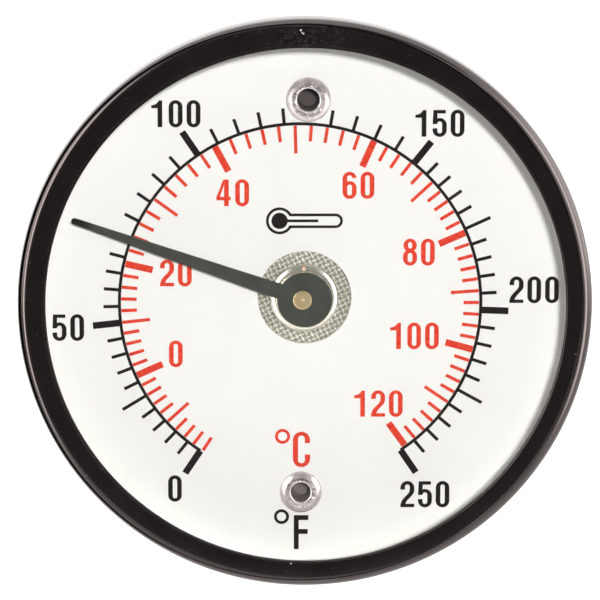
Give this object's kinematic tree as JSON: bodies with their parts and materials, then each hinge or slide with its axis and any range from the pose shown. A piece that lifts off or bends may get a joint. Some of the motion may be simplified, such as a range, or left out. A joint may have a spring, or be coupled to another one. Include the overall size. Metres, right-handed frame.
{
  "type": "magnetic surface thermometer",
  "caption": "Round magnetic surface thermometer: black cup case with bezel and lens, white dual-scale dial, bimetal coil, tapered pointer and riveted ring magnets at the back.",
  "frame": {"origin": "on the pointer's axis, in the rear plane where the magnets and the sensing cup touch the surface", "axes": "-Y out of the dial towards the reader, +Y into the surface it clings to, +Z towards twelve o'clock, +X to the right of the dial"},
  "size_m": [0.0506, 0.0122, 0.0506],
  "materials": {
    "black_case": "gloss",
    "black_bezel": "satin",
    "lens_glass": "clear",
    "gasket_rubber": "matte",
    "white_trim": "matte",
    "dial_white": "matte",
    "ink_black": "matte",
    "ink_red": "matte",
    "zinc_steel": "satin",
    "ferrite": "matte",
    "nickel_rivet": "satin",
    "aluminium_spacer": "satin",
    "aluminium_cup": "satin",
    "crosshatched_steel": "cross-hatched",
    "brass": "satin",
    "bimetal": "satin",
    "nickel_collar": "turned",
    "pointer_paint": "matte paint"
  },
  "bodies": {
    "housing": {"case_cup": "black_case", "bezel_ring": "black_bezel", "lens": "lens_glass", "lens_gasket": "gasket_rubber", "trim_ring": "white_trim", "dial_plate": "dial_white", "scale_print_black": "ink_black", "scale_print_red": "ink_red", "sign_print": "ink_black", "pole_cup_top": "zinc_steel", "pole_cup_bottom": "zinc_steel", "magnet_top": "ferrite", "magnet_bottom": "ferrite", "rivet_top": "nickel_rivet", "rivet_bottom": "nickel_rivet", "rivet_spacers": "aluminium_spacer", "sensor_cup": "aluminium_cup", "heat_shield": "crosshatched_steel", "shield_rivets": "aluminium_spacer", "upper_bearing_bush": "brass"},
    "calibrator": {"calibration_hub": "brass", "hub_washer": "brass", "anchor_arm": "zinc_steel", "anchor_post": "zinc_steel", "bimetal_coil": "bimetal"},
    "pointer_assembly": {"pointer": "pointer_paint", "pointer_collar": "nickel_collar", "pointer_shaft": "brass", "coil_arbor": "brass", "thrust_washer": "brass"}
  },
  "joints": [
    {"name": "calibration_turn", "type": "hinge", "parent": "housing", "child": "calibrator", "pos_m": [0, 0, 0], "axis": [0, 1, 0], "range_deg": [-20, 20]},
    {"name": "pointer_turn", "type": "hinge", "parent": "calibrator", "child": "pointer_assembly", "pos_m": [0, 0, 0], "axis": [0, 1, 0], "range_deg": [-78, 221], "stiffness_Nm_per_rad": 0.0012, "deforming": ["bimetal_coil"]}
  ]
}
